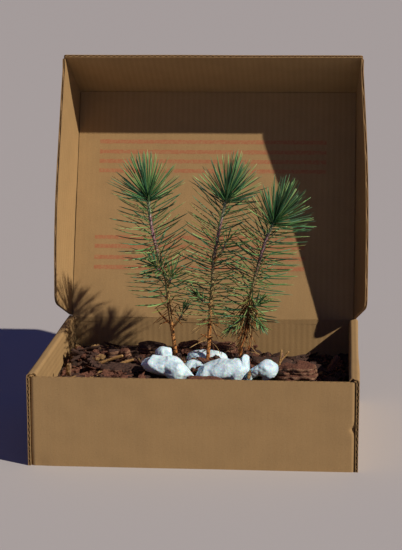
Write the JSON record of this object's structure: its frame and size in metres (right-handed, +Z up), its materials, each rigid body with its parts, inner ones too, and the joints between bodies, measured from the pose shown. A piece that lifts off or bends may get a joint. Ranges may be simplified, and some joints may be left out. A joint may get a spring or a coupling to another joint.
{
  "type": "pine seedling clump in a cardboard box pot",
  "caption": "Clump of young pine seedlings with long needles, standing in bark mulch and white stones inside an open corrugated mailer box whose lid leans back.",
  "frame": {"origin": "middle of the box's flat underside", "axes": "+X to the box's right, +Y to its back, where the lid is hinged, +Z up"},
  "size_m": [0.3522, 0.3624, 0.3897],
  "materials": {
    "kraft_board": "matte",
    "white_marble": "matte",
    "bark": "matte",
    "dry_stick": "matte",
    "mulch": "matte",
    "stem_bark": "matte",
    "shoot_bark": "matte",
    "green_needles": "satin",
    "young_needles": "satin",
    "dry_needles": "matte"
  },
  "bodies": {
    "tray": {"tray_floor": "kraft_board", "tray_front_wall": "kraft_board", "tray_back_wall": "kraft_board", "tray_side_left": "kraft_board", "tray_side_right": "kraft_board", "tray_ear_front_left": "kraft_board", "tray_ear_front_right": "kraft_board", "tray_ear_back_left": "kraft_board", "tray_ear_back_right": "kraft_board", "stone_1": "white_marble", "stone_2": "white_marble", "stone_3": "white_marble", "stone_4": "white_marble", "stone_5": "white_marble", "stone_6": "white_marble", "bark_chip_1": "bark", "bark_chip_2": "bark", "bark_chip_3": "bark", "bark_chip_4": "bark", "bark_chip_5": "bark", "bark_chip_6": "bark", "stick_1": "dry_stick", "stick_2": "dry_stick", "forked_twig": "dry_stick", "mulch_bed": "mulch", "stem_left": "stem_bark", "bough_left_1": "shoot_bark", "needles_shoot_left_1": "young_needles", "bough_left_2": "shoot_bark", "needles_shoot_left_2": "young_needles", "needles_crown_left": "green_needles", "needles_upper_left": "green_needles", "needles_middle_left": "young_needles", "needles_lower_left": "young_needles", "needles_dry_left": "dry_needles", "stem_middle": "stem_bark", "bough_middle_1": "shoot_bark", "needles_shoot_middle_1": "young_needles", "bough_middle_2": "shoot_bark", "needles_shoot_middle_2": "young_needles", "needles_crown_middle": "green_needles", "needles_upper_middle": "green_needles", "needles_middle_middle": "young_needles", "needles_lower_middle": "young_needles", "needles_dry_middle": "dry_needles", "stem_right": "stem_bark", "bough_right_1": "shoot_bark", "needles_shoot_right_1": "young_needles", "bough_right_2": "shoot_bark", "needles_shoot_right_2": "young_needles", "needles_crown_right": "green_needles", "needles_upper_right": "green_needles", "needles_middle_right": "young_needles", "needles_lower_right": "young_needles", "needles_dry_right": "dry_needles"},
    "lid": {"lid_panel": "kraft_board"},
    "front_flap": {"lid_front_flap": "kraft_board"},
    "left_flap": {"lid_side_flap_left": "kraft_board"},
    "right_flap": {"lid_side_flap_right": "kraft_board"}
  },
  "joints": [
    {"name": "lid_hinge", "type": "hinge", "parent": "tray", "child": "lid", "pos_m": [0, 0.1315, 0.0935], "axis": [1, 0, 0], "range_deg": [-75, 20]},
    {"name": "front_flap_fold", "type": "hinge", "parent": "lid", "child": "front_flap", "pos_m": [0, 0.22787, 0.34196], "axis": [1, 0, 0], "range_deg": [-85, 0]},
    {"name": "left_flap_fold", "type": "hinge", "parent": "lid", "child": "left_flap", "pos_m": [-0.162, 0.17851, 0.2147], "axis": [0, 0.3616, 0.9323], "range_deg": [-81.5, 15.5]},
    {"name": "right_flap_fold", "type": "hinge", "parent": "lid", "child": "right_flap", "pos_m": [0.162, 0.17851, 0.2147], "axis": [0, -0.3616, -0.9323], "range_deg": [-81.5, 15.5]}
  ]
}
